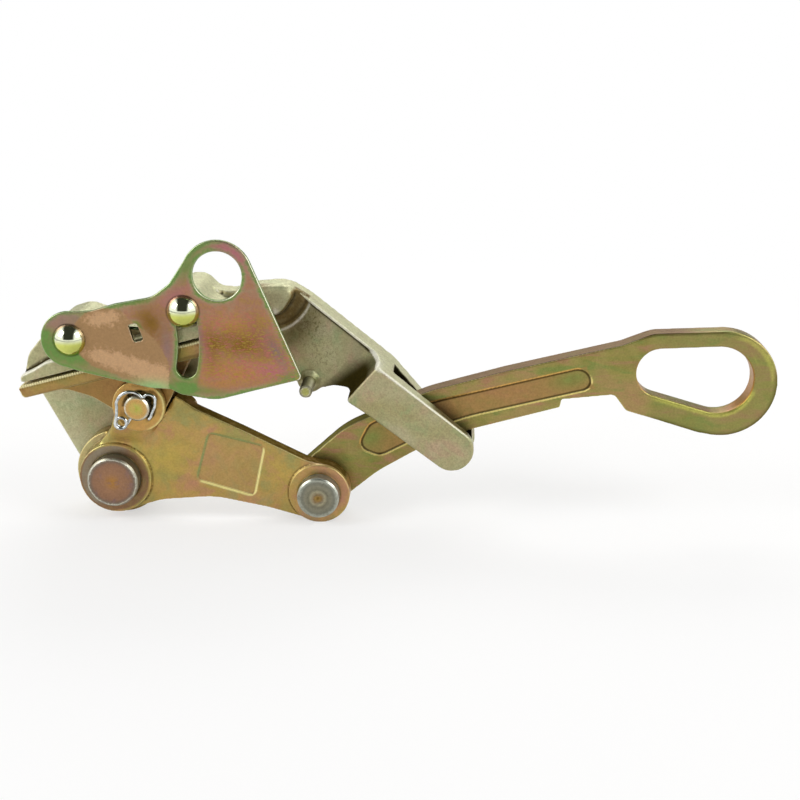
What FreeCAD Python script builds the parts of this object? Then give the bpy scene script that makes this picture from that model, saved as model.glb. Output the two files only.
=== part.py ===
import FreeCAD, Part
import math
import os

# A parallel-jaw cable grip: a forged frame with the upper jaw and a closed tail loop, a bell crank
# link, a lower jaw, a curved shank with a pulling eye, and a swing latch with a hot stick ear.
# X runs from the jaws to the pulling eye, Z is up, Y grows towards the back.
# The origin is on the axis of the gripped cable, between the two jaws.
# It stands on the link's big hub and small boss, as it does when it is set down.

os.makedirs("parts", exist_ok=True)
Vec = FreeCAD.Vector

# Running fits and gaps
pin_clearance = 0.05
side_gap = 0.35
wall_gap = 0.5

# Jaws, measured along and across the line on which they meet
jaw_angle = 15.0
jaw_gap = 1.1
jaw_width = 24.5
jaw_reach_left = 52.0
jaw_reach_right = 46.0
cable_radius = 4.0
lower_bar_height = 6.4
lower_jaw_overhang = 1.6
lip_height = 5.2

# Frame
wall_thickness = 11.75
beam_thickness = 15.7
beam_lip = 1.3
beam_step = 3.0
beam_recess_radius = 21.0
beam_recess_depth = 1.2
leg_end_radius = 18.2
leg_left_angle = 206.9
leg_right_angle = -8.0
block_setback = 6.5
tail_root_x = 105.2
tail_root_z = -12.0
tail_angle = -38.0
tail_length = 61.0
tail_half_width = 10.2
tail_front_cheek = 12.0
tail_slot_start = 9.0
tail_slot_end = 55.6
tail_slot_flare = 4.0
tail_fillet = 12.0
tail_edge_round = 1.0
stub_x = 78.8
stub_z = -17.1
stub_radius = 3.05
stub_foot = 3.0
rear_head_radius = 14.5
rear_head_height = 3.0

# Pivots
main_pin_x = -11.0
main_pin_z = -59.9
main_pin_radius = 11.9
jaw_arm = 39.4
jaw_arm_angle = 68.9
jaw_pin_radius = 5.8
shank_arm = 95.5
shank_arm_angle = -3.8
shank_pin_radius = 9.7
pin_stand = 6.0
jaw_pin_stand = 4.0
pin_end_chamfer = 0.8

# Link
link_thickness = 8.0
link_boss_height = 1.5
big_boss_radius = 16.9
hub_radius = 20.4
small_boss_radius = 14.2
lobe_radius = 12.0
fork_front_cheek = 4.7
fork_back_cheek = 6.0
lug_thickness = 9.05
lug_radius = 11.4
lug_reach_right = 24.5
panel_depth = 0.5

# Shank
shank_thickness = 10.5
shank_front = 2.75
shank_side_gap = 0.6
shank_end_radius = 13.9
eye_left_x = 240.3
eye_left_z = -8.7
eye_left_radius = 11.2
eye_right_x = 266.5
eye_right_z = -11.8
eye_right_radius = 15.6
eye_outer_radius = 24.7
eye_outer_shift = 1.9

# Swing latch
latch_thickness = 2.5
latch_standoff = 8.3
latch_pivot_x = -24.8
latch_pivot_z = 8.9
latch_guide_reach = 53.3
latch_guide_angle = 14.7
latch_travel = 28.0
latch_bush_radius = 4.5
latch_slot_clearance = 0.2
latch_rivet_radius = 3.2
rivet_head_radius = 7.2
rivet_head_height = 5.0
latch_ear_x = 42.4
latch_ear_z = 38.4
latch_ear_hole_radius = 10.9
latch_ear_radius = 15.8
latch_lobe_radius = 12.9
latch_bush_flange_radius = 7.0
latch_pivot_bush_radius = 5.5

# Small wire parts
clip_wire_radius = 0.72
clip_hole_depth = 1.9
clip_angle = 57.0
clip_coil_radius = 2.45
clip_coil_reach = 9.6
spring_wire_radius = 0.7
spring_turns = 3.0
turn_gap = 0.7
spring_bush_gap = 0.15
spring_leg_angle = -3.0
spring_leg_length = 34.0
spring_back_leg = 5.0

# Places that follow from the sizes above
main_pin = (main_pin_x, main_pin_z)
tail_root = (tail_root_x, tail_root_z)
stub = (stub_x, stub_z)
beam_top_corner = (79.5, 22.9)
wall_front = jaw_width / 2 + wall_gap
wall_back = wall_front + wall_thickness
beam_front = wall_back - beam_thickness
block_front = block_setback - jaw_width / 2
shank_back = shank_front + shank_thickness
link_back = shank_front - side_gap
link_front = link_back - link_thickness
boss_front = link_front - link_boss_height
lug_back = link_back - side_gap
lug_front = lug_back - lug_thickness
fork_slot_front = lug_front - side_gap
lobe_front = fork_slot_front - fork_front_cheek
lobe_back = link_back + fork_back_cheek
jaw_pin_end = lobe_front - jaw_pin_stand
clip_depth = jaw_pin_end + clip_hole_depth
slot_front = shank_front - shank_side_gap
slot_back = shank_back + shank_side_gap
tail_front = slot_front - tail_front_cheek
latch_back = block_front - latch_standoff
latch_front = latch_back - latch_thickness
rivet_seat = latch_front - side_gap
latch_pivot = (latch_pivot_x, latch_pivot_z)
latch_ear = (latch_ear_x, latch_ear_z)


def polar(centre, angle, distance):
    """The point at an angle in degrees and a distance from a centre, in the XZ plane."""
    turn = math.radians(angle)
    return (centre[0] + distance * math.cos(turn), centre[1] + distance * math.sin(turn))


def on_line(start, angle, along, across, radius=0):
    """A corner given along and across a slanted line, in X and Z, with its rounding."""
    return polar(polar(start, angle, along), angle + 90, across) + (radius,)


def on_jaw(along, across, radius=0):
    """A corner measured from the cable axis along the jaw line."""
    return on_line((0, 0), jaw_angle, along, across, radius)


def on_tail(along, across, radius=0):
    """A corner measured from the root of the tail loop along its middle line."""
    return on_line(tail_root, tail_angle, along, across, radius)


jaw_pin = polar(main_pin, jaw_arm_angle, jaw_arm)
shank_pin = polar(main_pin, shank_arm_angle, shank_arm)
latch_guide = polar(latch_pivot, latch_guide_angle, latch_guide_reach)


def outline(corners):
    """A closed wire in the XZ plane. Each corner is (x, z) or (x, z, radius)."""
    count = len(corners)
    places = [Vec(c[0], 0, c[1]) for c in corners]
    starts, ends, middles = [], [], []
    for i, corner in enumerate(corners):
        here = places[i]
        before = places[i - 1] - here
        after = places[(i + 1) % count] - here
        radius = corner[2] if len(corner) > 2 else 0
        half = before.getAngle(after) / 2
        if radius == 0 or half > math.radians(89.5):
            starts.append(here)
            ends.append(here)
            middles.append(None)
            continue
        reach = min(radius / math.tan(half), 0.49 * before.Length, 0.49 * after.Length)
        radius = reach * math.tan(half)
        to_centre = (before.normalize() + after.normalize()).normalize()
        starts.append(here + before * reach)
        ends.append(here + after * reach)
        middles.append(here + to_centre * (radius / math.sin(half) - radius))
    edges = []
    for i in range(count):
        if middles[i]:
            edges.append(Part.Arc(starts[i], middles[i], ends[i]).toShape())
        edges.append(Part.LineSegment(ends[i], starts[(i + 1) % count]).toShape())
    return Part.Wire(edges)


def slab(corners, front, back):
    """A flat piece with a rounded outline, between two depths."""
    face = Part.Face(outline(corners))
    face.translate(Vec(0, front, 0))
    return face.extrude(Vec(0, back - front, 0))


def rod(centre, radius, front, back):
    """A round bar along Y between two depths."""
    return Part.makeCylinder(radius, back - front, Vec(centre[0], front, centre[1]), Vec(0, 1, 0))


def strap(first, first_radius, second, second_radius, front, back):
    """Two round ends joined by the straight lines that touch both."""
    heading = math.degrees(math.atan2(second[1] - first[1], second[0] - first[0]))
    distance = math.dist(first, second)
    lean = math.degrees(math.acos((first_radius - second_radius) / distance))
    sides = [polar(first, heading + lean, first_radius), polar(second, heading + lean, second_radius),
             polar(second, heading - lean, second_radius), polar(first, heading - lean, first_radius)]
    between = slab(sides, front, back)
    return between.fuse([rod(first, first_radius, front, back), rod(second, second_radius, front, back)])


def join(pieces):
    """One solid from pieces that touch or overlap."""
    return pieces[0].fuse(pieces[1:]).removeSplitter()


def round_rims(shape, depths, radius, keep_off=()):
    """Rounds the edges that lie in the planes at the given depths, away from listed round places."""
    chosen = []
    for edge in shape.Edges:
        box = edge.BoundBox
        flat = any(abs(box.YMin - d) < 0.001 and abs(box.YMax - d) < 0.001 for d in depths)
        middle = edge.CenterOfMass
        near = any(math.dist((middle.x, middle.z), c) < r for c, r in keep_off)
        if flat and not near:
            chosen.append(edge)
    return shape.makeFillet(radius, chosen)


def pin(centre, radius, front, back):
    """A pin with a small bevel at each end."""
    body = rod(centre, radius, front, back)
    return body.makeChamfer(pin_end_chamfer, [e for e in body.Edges if e.BoundBox.YLength < 0.001])


def cable_groove():
    """The round channel that the two jaws share."""
    start = on_jaw(-2 * jaw_reach_left, 0)
    end = on_jaw(2 * jaw_reach_right, 0)
    way = Vec(end[0] - start[0], 0, end[1] - start[1])
    return Part.makeCylinder(cable_radius, way.Length, Vec(start[0], 0, start[1]), way)


def jaw_back_line():
    """The top outline of the frame over the jaws, from the nose to the second rivet lug."""
    return [(-47.6, -0.8, 9), (-41.6, 6.3, 8), (-33.2, 15.0, 6), (-24.5, 17.8, 9), (-16.5, 14.8, 6),
            (-11.0, 11.0, 8), (9.0, 13.0, 8), (19.0, 27.3, 8), (23.5, 31.8, 6), (31.0, 31.8, 7)]


def beam_edge():
    """The outline of the frame's back wall, without the leg."""
    return jaw_back_line() + [
        (36.5, 25.6, 8), (45.0, 25.0, 12), (55.0, 28.2, 14), (69.0, 29.3, 16), beam_top_corner + (30,),
        on_tail(7.4, tail_half_width + 0.7, 10), on_tail(2, 0), on_tail(-1.2, -tail_half_width),
        (89.6, -19.4, 9), (80.0, -22.0, 4), (72.0, -17.0, 6), (30.0, -17.0, 12), (12.0, -31.0, 14)]


def frame_shape():
    """The forging: upper jaw, leg, beam and the closed tail loop."""
    leg_edge = [polar(main_pin, leg_right_angle, leg_end_radius),
                polar(main_pin, leg_left_angle, leg_end_radius), (-50.3, -22.5, 5), (-51.0, -12.0, 2)]
    wall = slab(beam_edge() + leg_edge, wall_front, wall_back)
    leg_end = rod(main_pin, leg_end_radius, wall_front, wall_back)
    stub_lobe = rod(stub, 2 * stub_radius, wall_front, wall_back)
    nose_corner = on_jaw(-jaw_reach_left, jaw_gap / 2, 1.2)
    heel_corner = on_jaw(jaw_reach_right, jaw_gap / 2, 1.2)
    upper_jaw = slab([nose_corner] + jaw_back_line() + [(37.0, 24.6, 6), (46.5, 20.0, 5), heel_corner],
                     block_front, wall_front)
    lip = slab([nose_corner, on_jaw(1.5 - jaw_reach_left, 4.0, 2), on_jaw(8 - jaw_reach_left, lip_height, 4),
                on_jaw(15 - jaw_reach_left, lip_height + 2, 6), on_jaw(jaw_reach_right, lip_height + 2, 4),
                heel_corner], -jaw_width / 2, block_front)
    shoulder = slab([(45.0, 24.2, 6), (55.0, 27.8, 14), (69.0, 28.8, 12), (73.5, 25.0, 5), (67.0, 15.0, 8),
                     (56.0, 13.0, 8), (45.0, 14.0, 6)], beam_front, wall_front)
    shoulder = round_rims(shoulder, [beam_front], beam_step)
    body = join([wall, leg_end, stub_lobe, upper_jaw, lip, shoulder, tail_shape(), beam_lip_shape(), stub_shape()])
    recess = rod((59.0, 28.0), beam_recess_radius, wall_front, wall_front + beam_recess_depth)
    recess = recess.cut(shoulder_island())
    bores = [rod(main_pin, main_pin_radius, wall_front, wall_back),
             rod(latch_pivot, latch_rivet_radius, block_front, wall_back),
             rod(latch_guide, latch_rivet_radius, block_front, wall_back)]
    return body.cut([tail_slot(), cable_groove(), recess] + bores)


def tail_shape():
    """The tail loop before its slot: a long front cheek over a slightly longer back cheek."""
    front_cheek = slab([on_tail(-1.2, -tail_half_width - 1, 1.5), on_tail(12, -tail_half_width, 20),
                        on_tail(tail_length, 0.8 - tail_half_width, 10), on_tail(tail_length, tail_half_width, 10),
                        on_tail(0, tail_half_width + 0.6, 0.8)], tail_front, slot_back)
    front_cheek = round_rims(front_cheek, [tail_front], tail_edge_round)
    back_cheek = slab([on_tail(-1.2, -tail_half_width - 1), on_tail(tail_length + 1.3, 0.5 - tail_half_width, 10),
                       on_tail(tail_length + 1.3, tail_half_width, 10), on_tail(31, 6, 24),
                       on_tail(7.4, tail_half_width + 0.7, 8), on_tail(-1, tail_half_width + 0.7)],
                      slot_back, wall_back)
    sweep = Part.makeBox(tail_fillet + 2, tail_fillet, 40, Vec(-tail_fillet, wall_front - tail_fillet, -20))
    hollow = Part.makeCylinder(tail_fillet, 40, Vec(-tail_fillet, wall_front - tail_fillet, -20))
    sweep = on_tail_frame(sweep.cut(hollow)).common(slab(beam_edge(), tail_front, wall_front))
    return join([front_cheek, back_cheek, sweep])


def on_tail_frame(shape):
    """Moves a shape drawn along X to the root of the tail loop."""
    shape.rotate(Vec(0, 0, 0), Vec(0, 1, 0), -tail_angle)
    shape.translate(Vec(tail_root[0], 0, tail_root[1]))
    return shape


def beam_lip_shape():
    """The thin lip along the top of the beam that stands out over the sunk web."""
    start = beam_top_corner
    end = on_tail(7.4, tail_half_width + 0.7)
    angle = math.degrees(math.atan2(end[1] - start[1], end[0] - start[0]))
    length = math.dist(start, end[:2])
    strip = slab([on_line(start, angle, -6, 4), on_line(start, angle, length, 4), on_line(start, angle, length, -1),
                  on_line(start, angle, length - 9, -beam_lip), on_line(start, angle, 0, -beam_lip, 30),
                  on_line(start, angle, -6, -0.5)], beam_front, wall_front)
    return strip.common(slab(beam_edge(), beam_front, wall_front))


def shoulder_island():
    """The part of the shoulder that the round recess leaves standing."""
    return slab([(40.0, 40.0), (76.0, 40.0), (73.0, 25.6, 3), (67.0, 15.0, 8), (40.0, 12.0)],
                wall_front, wall_front + beam_recess_depth)


def stub_shape():
    """The round stud under the latch's corner, with a flared foot."""
    stud = rod(stub, stub_radius, block_front, wall_front)
    foot = Part.makeCone(stub_radius, 1.6 * stub_radius, stub_foot, Vec(stub[0], wall_front - stub_foot, stub[1]),
                         Vec(0, 1, 0))
    return stud.fuse(foot)


def tail_slot():
    """The slot that the shank runs through, a little wider towards its outer end."""
    reach = 3 * tail_half_width
    corners = [Vec(tail_slot_start, slot_front, -reach), Vec(tail_slot_end, slot_front - tail_slot_flare, -reach),
               Vec(tail_slot_end, slot_back, -reach), Vec(tail_slot_start, slot_back, -reach)]
    return on_tail_frame(Part.Face(Part.makePolygon(corners + corners[:1])).extrude(Vec(0, 0, 2 * reach)))


def link_shape():
    """The bell crank: hub and boss, forked lobe for the jaw and small boss for the shank."""
    web = slab([polar(main_pin, 118, big_boss_radius), (-13.0, -37.5, 14), polar(jaw_pin, 193, lobe_radius),
                polar(jaw_pin, 100, lobe_radius), (19.7, -20.4, 1.5), (28.0, -26.2, 20), (48.0, -35.6, 60),
                (78.3, -50.6, 10), polar(shank_pin, 60, small_boss_radius),
                polar(shank_pin, -95, small_boss_radius), (60.0, -73.8, 50), (35.0, -68.8, 40),
                (10.0, -70.9, 30), polar(main_pin, -75, big_boss_radius), main_pin], link_front, link_back)
    hub = rod(main_pin, hub_radius, link_back, wall_front - wall_gap)
    big_boss = rod(main_pin, big_boss_radius, boss_front, link_back)
    small_boss = rod(shank_pin, small_boss_radius, boss_front, link_back)
    front_neck = slab([(-15.0, -44.0), (-12.6, -36.5, 12), polar(jaw_pin, 196, lobe_radius), jaw_pin,
                       polar(jaw_pin, -48, lobe_radius), (2.0, -46.0)], lobe_front, link_front)
    ramp = Part.Face(Part.makePolygon([Vec(-30, link_front, -43), Vec(-30, link_front, 0),
                                       Vec(-30, lobe_front, 0), Vec(-30, lobe_front, jaw_pin[1] - 2),
                                       Vec(-30, link_front, -43)])).extrude(Vec(60, 0, 0))
    back_neck = slab([(-15.0, -44.0), (-12.6, -36.5, 12), polar(jaw_pin, 196, lobe_radius), jaw_pin,
                      (19.5, -21.0, 2), (28.0, -27.0, 10), (20.0, -44.0, 12)], link_back, lobe_back)
    front_lobe = rod(jaw_pin, lobe_radius, lobe_front, link_front)
    back_lobe = rod(jaw_pin, lobe_radius, link_back, lobe_back)
    body = join([web, hub, big_boss, small_boss, front_neck.common(ramp), back_neck, front_lobe, back_lobe])
    bores = [rod(main_pin, main_pin_radius + pin_clearance, boss_front, wall_front),
             rod(jaw_pin, jaw_pin_radius, lobe_front, lobe_back),
             rod(shank_pin, shank_pin_radius, boss_front, link_back)]
    panel = slab([(33.3, -37.1, 3), (59.5, -43.5, 3), (54.0, -68.9, 3), (26.6, -60.9, 3)],
                 link_front, link_front + panel_depth)
    return body.cut([fork_slot(), panel] + bores)


def fork_slot():
    """The room in the link's fork for the lower jaw's lug and its swing."""
    clear = lug_radius + side_gap
    round_part = rod(jaw_pin, clear, fork_slot_front, link_back)
    open_part = slab([polar(jaw_pin, 238, clear), polar(jaw_pin, 216, 22), polar(jaw_pin, 205, 40),
                      polar(jaw_pin, 150, 40), on_jaw(lug_reach_right + 3.5, -jaw_gap / 2 - lower_bar_height - 3),
                      polar(jaw_pin, -35, clear), jaw_pin], fork_slot_front, link_back)
    return round_part.fuse(open_part)


def lower_jaw_shape():
    """The lower jaw bar with the lug that hangs in the link's fork."""
    left = -jaw_reach_left - lower_jaw_overhang
    top = -jaw_gap / 2
    under = top - lower_bar_height
    bar = slab([on_jaw(left, top, 1.6), on_jaw(jaw_reach_right, top, 1), on_jaw(jaw_reach_right, under - 1.5, 4),
                on_jaw(5, under - 0.6, 40), on_jaw(-12, under, 40), on_jaw(left + 0.6, under + 0.4, 2)],
               -jaw_width / 2, jaw_width / 2)
    lug = slab([on_jaw(-42, top - 2), on_jaw(-42, under + 0.2, 3), on_jaw(-34, under - 1.6, 12),
                on_jaw(-24, under - 7.6, 20), polar(jaw_pin, 205, lug_radius), polar(jaw_pin, -35, lug_radius),
                on_jaw(lug_reach_right, under - 3, 6), on_jaw(lug_reach_right + 6, top - 4)], lug_front, lug_back)
    lug_end = rod(jaw_pin, lug_radius, lug_front, lug_back)
    body = join([bar, lug, lug_end])
    return body.cut([cable_groove(), rod(jaw_pin, jaw_pin_radius + pin_clearance, lug_front, lug_back)])


def shank_shape():
    """The curved bar with the pulling eye at its end and its bare sunk panel."""
    eye_left = (eye_left_x, eye_left_z)
    eye_right = (eye_right_x, eye_right_z)
    eye_middle = (eye_right_x + eye_outer_shift, eye_right_z - eye_outer_shift)
    bar = slab([polar(shank_pin, 132, shank_end_radius), (95.5, -37.2, 45), (134.0, -19.0, 60), (170.0, -8.8, 150),
                (eye_left_x - 17.8, eye_left_z + 12.8, 14), (eye_left_x - 4.3, eye_left_z + 18.3, 14),
                (eye_middle[0], eye_middle[1] + eye_outer_radius), (eye_middle[0], eye_middle[1] - eye_outer_radius),
                (eye_middle[0] - 9.4, eye_middle[1] - 23.5, 8), (eye_left_x - 15.1, eye_left_z - 18.1, 3),
                (eye_left_x - 20.7, eye_left_z - 10.5, 3), (195.6, -21.8), (195.0, -25.6, 0.8),
                (152.0, -37.5, 90), (130.5, -46.6, 70), (111.0, -58.2, 50),
                polar(shank_pin, -50, shank_end_radius - 3)], shank_front, shank_back)
    end = rod(shank_pin, shank_end_radius, shank_front, shank_back)
    eye_end = rod(eye_middle, eye_outer_radius, shank_front, shank_back)
    body = join([bar, end, eye_end])
    opening = strap(eye_left, eye_left_radius, eye_right, eye_right_radius, shank_front, shank_back)
    panel = slab([(101.0, -46.5, 5), (107.0, -34.5, 8), (135.3, -23.8, 90), (206.5, -5.8, 6.5),
                  (211.0, -16.5, 6.5), (147.4, -32.3, 90), (112.1, -51.1, 8)], shank_front, shank_front + panel_depth)
    return body.cut([opening, panel, rod(shank_pin, shank_pin_radius + pin_clearance, shank_front, shank_back)])


def latch_shape():
    """The swing latch: a flat plate with a curved slot, a small window and the hot stick ear."""
    plate = slab([polar(latch_pivot, 105, latch_lobe_radius), (-14.0, 22.2, 8), (-4.0, 25.4, 20), (13.0, 28.6, 12),
                  (21.0, 34.6, 10), polar(latch_ear, 137, latch_ear_radius), polar(latch_ear, 25, latch_ear_radius),
                  (78.9, -8.0, 2), (58.0, -13.4, 30), (40.0, -18.3, 20), (24.0, -15.8, 6), (19.6, -13.4, 3),
                  (10.0, -12.9, 20), (-19.0, -6.2, 40), polar(latch_pivot, -100, latch_lobe_radius)],
                 latch_front, latch_back)
    lobe = rod(latch_pivot, latch_lobe_radius, latch_front, latch_back)
    ear = rod(latch_ear, latch_ear_radius, latch_front, latch_back)
    window = slab([(1.9, 16.0, 0.8), (5.7, 16.9, 0.8), (8.4, 9.2, 0.8), (4.1, 8.1, 0.8)], latch_front, latch_back)
    body = join([plate, lobe, ear])
    return body.cut([rod(latch_ear, latch_ear_hole_radius, latch_front, latch_back), window, latch_slot(),
                     rod(latch_pivot, latch_rivet_radius + pin_clearance, latch_front, latch_back)])


def latch_slot():
    """The curved slot around the pivot, in which the guide bush runs."""
    half = latch_bush_radius + latch_slot_clearance
    inner = rod(latch_pivot, latch_guide_reach - half, latch_front, latch_back)
    ring = rod(latch_pivot, latch_guide_reach + half, latch_front, latch_back).cut(inner)
    far_end = latch_guide_angle - latch_travel
    reach = 2 * latch_guide_reach
    sector = slab([latch_pivot, polar(latch_pivot, latch_guide_angle, reach),
                   polar(latch_pivot, far_end, reach)], latch_front, latch_back)
    ends = [rod(polar(latch_pivot, a, latch_guide_reach), half, latch_front, latch_back)
            for a in (latch_guide_angle, far_end)]
    return ring.common(sector).fuse(ends)


def rivet(centre, seat):
    """A rivet with a domed head in front, its shaft flush with the back of the frame."""
    ball_radius = (rivet_head_radius ** 2 + rivet_head_height ** 2) / (2 * rivet_head_height)
    ball = Part.makeSphere(ball_radius, Vec(centre[0], seat + ball_radius - rivet_head_height, centre[1]))
    head = ball.common(rod(centre, 2 * rivet_head_radius, seat - rivet_head_height, seat))
    return join([head, rod(centre, latch_rivet_radius, seat, wall_back)])


def guide_bush_shape():
    """The flanged bush that the latch plate's curved slot runs along."""
    flange = rod(latch_guide, latch_bush_flange_radius, latch_back + side_gap, block_front)
    sleeve = rod(latch_guide, latch_bush_radius, rivet_seat, block_front)
    return join([flange, sleeve]).cut(rod(latch_guide, latch_rivet_radius, rivet_seat, block_front))


def pivot_bush_shape():
    """The bush that holds the latch plate off the frame, inside the spring."""
    bush = rod(latch_pivot, latch_pivot_bush_radius, latch_back + side_gap, block_front)
    return bush.cut(rod(latch_pivot, latch_rivet_radius, latch_back, block_front))


def main_pin_shape():
    """The big pivot pin, headed at the back of the frame's leg."""
    shaft = pin(main_pin, main_pin_radius, boss_front - pin_stand, wall_back + 1)
    head = pin(main_pin, rear_head_radius, wall_back, wall_back + rear_head_height)
    return join([shaft, head])


def shank_pin_shape():
    """The small pivot pin, headed behind the shank."""
    shaft = pin(shank_pin, shank_pin_radius, boss_front - pin_stand, shank_back + 2)
    head = pin(shank_pin, shank_end_radius - 1, shank_back + side_gap, shank_back + side_gap + rear_head_height)
    return join([shaft, head])


def jaw_pin_shape():
    """The removable jaw pin, headed behind the fork and cross drilled in front for its clip."""
    shaft = pin(jaw_pin, jaw_pin_radius, jaw_pin_end, lobe_back + 1)
    head = pin(jaw_pin, jaw_pin_radius + 2, lobe_back, lobe_back + 2.6)
    way = Vec(math.cos(math.radians(clip_angle)), 0, math.sin(math.radians(clip_angle)))
    middle = Vec(jaw_pin[0], clip_depth, jaw_pin[1])
    start = middle - way * (2 * jaw_pin_radius)
    hole = Part.makeCylinder(clip_wire_radius + pin_clearance, 4 * jaw_pin_radius, start, way)
    return join([shaft, head]).cut(hole)


def bend(start, corner, end):
    """The arc that leaves one place towards a corner and comes from it to another, equally far off."""
    before = (start - corner).normalize()
    after = (end - corner).normalize()
    half = before.getAngle(after) / 2
    reach = start.distanceToPoint(corner)
    rise = reach / math.cos(half) - reach * math.tan(half)
    return Part.Arc(start, corner + (before + after).normalize() * rise, end).toShape()


def biarc(start, start_way, end, end_way):
    """Two arcs that join two places and keep the given directions there."""
    across = end - start
    along = across.dot(start_way + end_way)
    spread = 2 * (1 - start_way.dot(end_way))
    reach = (math.sqrt(along ** 2 + spread * across.dot(across)) - along) / spread
    first = start + start_way * reach
    second = end - end_way * reach
    middle = (first + second) * 0.5
    return [bend(start, first, middle), bend(middle, second, end)]


def tube(stops, radius):
    """A round wire through places, each with its direction there."""
    edges = []
    for (start, start_way), (end, end_way) in zip(stops, stops[1:]):
        if start_way.getAngle(end_way) < 0.001:
            edges.append(Part.LineSegment(start, end).toShape())
        else:
            edges += biarc(start, start_way, end, end_way)
    path = Part.Wire(edges)
    ring = Part.Wire([Part.makeCircle(radius, stops[0][0], stops[0][1])])
    print("least gap between turns", round(least_gap(path, radius), 2))
    return path.makePipeShell([ring], True, False)


def least_gap(path, radius):
    """The smallest distance between two stretches of a wire that aren't next to each other."""
    step = radius / 2
    places = path.discretize(Distance=step)
    apart = math.ceil(4 * radius / step)
    least = min(a.distanceToPoint(b) for i, a in enumerate(places) for b in places[i + apart:])
    return least - 2 * radius


def flat_way(angle):
    """A direction in the XZ plane at an angle in degrees."""
    return Vec(math.cos(math.radians(angle)), 0, math.sin(math.radians(angle)))


def turns(centre, radius, start, turned, depth, end_depth):
    """Stops along clockwise turns, about four to the turn, level where they start and end."""
    count = math.ceil(turned / 90)
    places = []
    for i in range(count + 1):
        x, z = polar(centre, start - turned * i / count, radius)
        places.append(Vec(x, depth + (end_depth - depth) * i / count, z))
    ways = [(after - before).normalize() for before, after in zip(places, places[2:])]
    return list(zip(places, [flat_way(start - 90)] + ways + [flat_way(start - turned - 90)]))


def latch_spring_shape():
    """The closing spring: turns around the pivot bush, and a leg behind the small window."""
    coil = latch_pivot_bush_radius + spring_bush_gap + spring_wire_radius
    back = block_front - spring_wire_radius
    front = back - (2 * spring_wire_radius + turn_gap) * spring_turns
    leave = spring_leg_angle + 90
    stops = turns(latch_pivot, coil, leave + 360 * spring_turns, 360 * spring_turns, back, front)
    foot = (stops[0][0] - stops[0][1] * spring_back_leg, stops[0][1])
    tip = (stops[-1][0] + stops[-1][1] * spring_leg_length, stops[-1][1])
    return tube([foot] + stops + [tip], spring_wire_radius)


def clip_stops(places, depth, first_way, last_way):
    """Stops at angles and distances around the jaw pin, each heading from the one before to the next."""
    spots = [polar(jaw_pin, angle, reach) for angle, reach in places]
    spots = [Vec(x, depth, z) for x, z in spots]
    ways = [(after - before).normalize() for before, after in zip(spots, spots[2:])]
    return list(zip(spots, [first_way] + ways + [last_way]))


def clip_shape():
    """The wire clip: a hooked end, a leg through the pin, a small turn, and a leg around the pin."""
    leg_way = flat_way(clip_angle + 180)
    hook = clip_stops([(-46, 7.2), (-13, 7.1), (10, 8.3), (36, 9.5), (clip_angle, 6.5)], clip_depth,
                      flat_way(36), leg_way)
    centre = polar(polar(jaw_pin, clip_angle, -clip_coil_reach), clip_angle + 90, clip_coil_radius)
    turned = clip_angle + 450
    outer_depth = clip_depth - (2 * clip_wire_radius + turn_gap) * turned / 360
    ring = turns(centre, clip_coil_radius, clip_angle - 90, turned, clip_depth, outer_depth)
    around = clip_stops([(203, 9.9), (177, 8.6), (155, 9.2), (128, 9.3), (96, 8.5), (62, 6.7)], outer_depth,
                        flat_way(76), flat_way(-60))
    return tube(hook + ring + around, clip_wire_radius)


pieces = {
    "frame": frame_shape(),
    "link": link_shape(),
    "lower_jaw": lower_jaw_shape(),
    "shank": shank_shape(),
    "latch_plate": latch_shape(),
    "main_pivot_pin": main_pin_shape(),
    "shank_pin": shank_pin_shape(),
    "jaw_pin": jaw_pin_shape(),
    "jaw_pin_clip": clip_shape(),
    "latch_pivot_rivet": rivet(latch_pivot, rivet_seat),
    "latch_guide_rivet": rivet(latch_guide, rivet_seat),
    "latch_pivot_spacer": pivot_bush_shape(),
    "latch_guide_spacer": guide_bush_shape(),
    "latch_spring": latch_spring_shape(),
}
for name, shape in pieces.items():
    shape.exportStep("parts/" + name + ".step")
    print(name, len(shape.Solids), shape.isValid(), round(shape.Volume))
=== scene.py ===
import math

import bpy
import numpy as np
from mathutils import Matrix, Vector
from mathutils.kdtree import KDTree


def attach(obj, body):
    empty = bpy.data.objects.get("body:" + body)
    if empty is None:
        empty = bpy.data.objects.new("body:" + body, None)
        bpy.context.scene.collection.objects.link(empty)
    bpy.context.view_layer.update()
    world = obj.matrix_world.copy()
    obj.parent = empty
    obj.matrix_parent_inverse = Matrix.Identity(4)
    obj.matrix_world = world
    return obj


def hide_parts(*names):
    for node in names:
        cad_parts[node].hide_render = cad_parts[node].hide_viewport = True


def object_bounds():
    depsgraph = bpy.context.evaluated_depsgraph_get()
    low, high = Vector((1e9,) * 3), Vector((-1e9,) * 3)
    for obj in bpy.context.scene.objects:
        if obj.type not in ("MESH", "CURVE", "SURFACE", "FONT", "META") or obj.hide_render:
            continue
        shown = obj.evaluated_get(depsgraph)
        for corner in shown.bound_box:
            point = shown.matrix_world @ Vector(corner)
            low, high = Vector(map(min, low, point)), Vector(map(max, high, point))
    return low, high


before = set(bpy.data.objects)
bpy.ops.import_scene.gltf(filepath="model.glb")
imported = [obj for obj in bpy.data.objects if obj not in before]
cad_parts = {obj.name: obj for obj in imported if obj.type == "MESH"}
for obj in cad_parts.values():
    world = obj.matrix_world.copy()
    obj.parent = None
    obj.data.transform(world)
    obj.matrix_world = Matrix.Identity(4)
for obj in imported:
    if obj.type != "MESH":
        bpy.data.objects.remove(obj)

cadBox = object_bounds()
bpy.ops.object.select_all(action="DESELECT")
scene = bpy.context.scene
scene.view_settings.view_transform = "Standard"
mm = 0.001


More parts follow.
